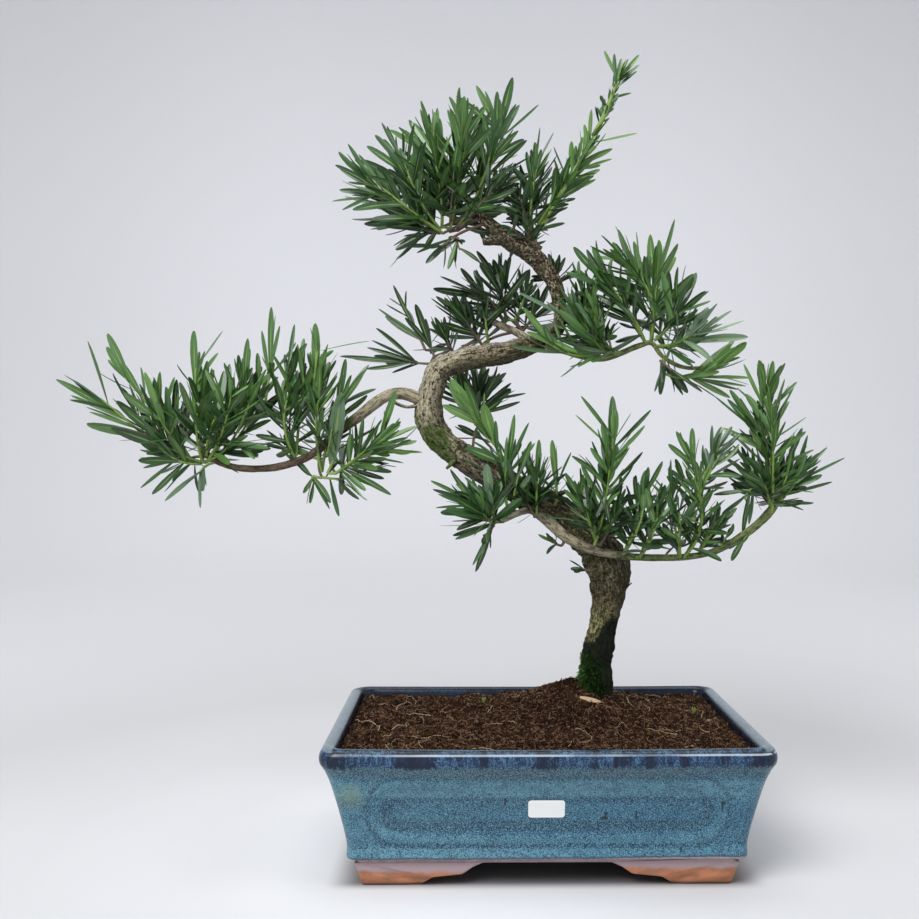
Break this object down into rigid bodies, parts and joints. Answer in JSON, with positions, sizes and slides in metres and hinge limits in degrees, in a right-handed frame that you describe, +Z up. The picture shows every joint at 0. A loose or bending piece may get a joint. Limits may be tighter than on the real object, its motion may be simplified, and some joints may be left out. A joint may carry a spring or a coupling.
{
  "type": "buddhist pine bonsai",
  "caption": "Small conifer with a winding trunk and ragged pads of long narrow leaves, standing in a low rectangular glazed pot on bracket feet.",
  "frame": {"origin": "on the ground, under the middle of the whole plant's box", "axes": "+Z up, -Y towards the front of the pot, +X to the right when looking at the front"},
  "size_m": [0.5803, 0.2287, 0.597],
  "materials": {
    "glaze": "glossy speckled blue glaze",
    "bare_clay": "unglazed fired clay",
    "soil": "loose fibrous potting soil",
    "bark": "rough streaked bark",
    "twig": "young bark",
    "leaf": "leathery leaves"
  },
  "bodies": {
    "root": {"pot": "glaze", "foot_front_left": "bare_clay", "foot_front_right": "bare_clay", "foot_back_left": "bare_clay", "foot_back_right": "bare_clay", "soil": "soil", "trunk_foot": "bark", "trunk_diagonal": "bark", "trunk_elbow": "bark", "trunk_arch": "bark", "trunk_top": "bark", "bough_left": "twig", "bough_left_outer": "twig", "bough_right": "twig", "bough_front": "twig", "bough_low": "twig", "bough_back": "twig", "bough_apex": "twig", "leaves_far_left": "leaf", "leaves_far_left_top": "leaf", "leaves_far_left_drop": "leaf", "leaves_left_middle": "leaf", "leaves_left_inner": "leaf", "leaves_left_front": "leaf", "leaves_left_drop": "leaf", "leaves_right_inner": "leaf", "leaves_right_middle": "leaf", "leaves_right_shoot": "leaf", "leaves_right_fan": "leaf", "leaves_back": "leaf", "leaves_back_left": "leaf", "leaves_back_sprig": "leaf", "leaves_bend_front": "leaf", "leaves_bend_back": "leaf", "leaves_low_centre": "leaf", "leaves_low_drop": "leaf", "leaves_low_left_shoot": "leaf", "leaves_low_middle_shoot": "leaf", "leaves_low_right_first": "leaf", "leaves_low_right_second": "leaf", "leaves_low_right_third": "leaf", "leaves_low_right_fourth": "leaf", "leaves_low_right_tall": "leaf", "leaves_low_right_end": "leaf", "leaves_apex_left": "leaf", "leaves_apex_crest": "leaf", "leaves_apex_middle": "leaf", "leaves_apex_drop": "leaf", "leaves_apex_right": "leaf", "leaves_leader": "leaf"}
  },
  "joints": []
}
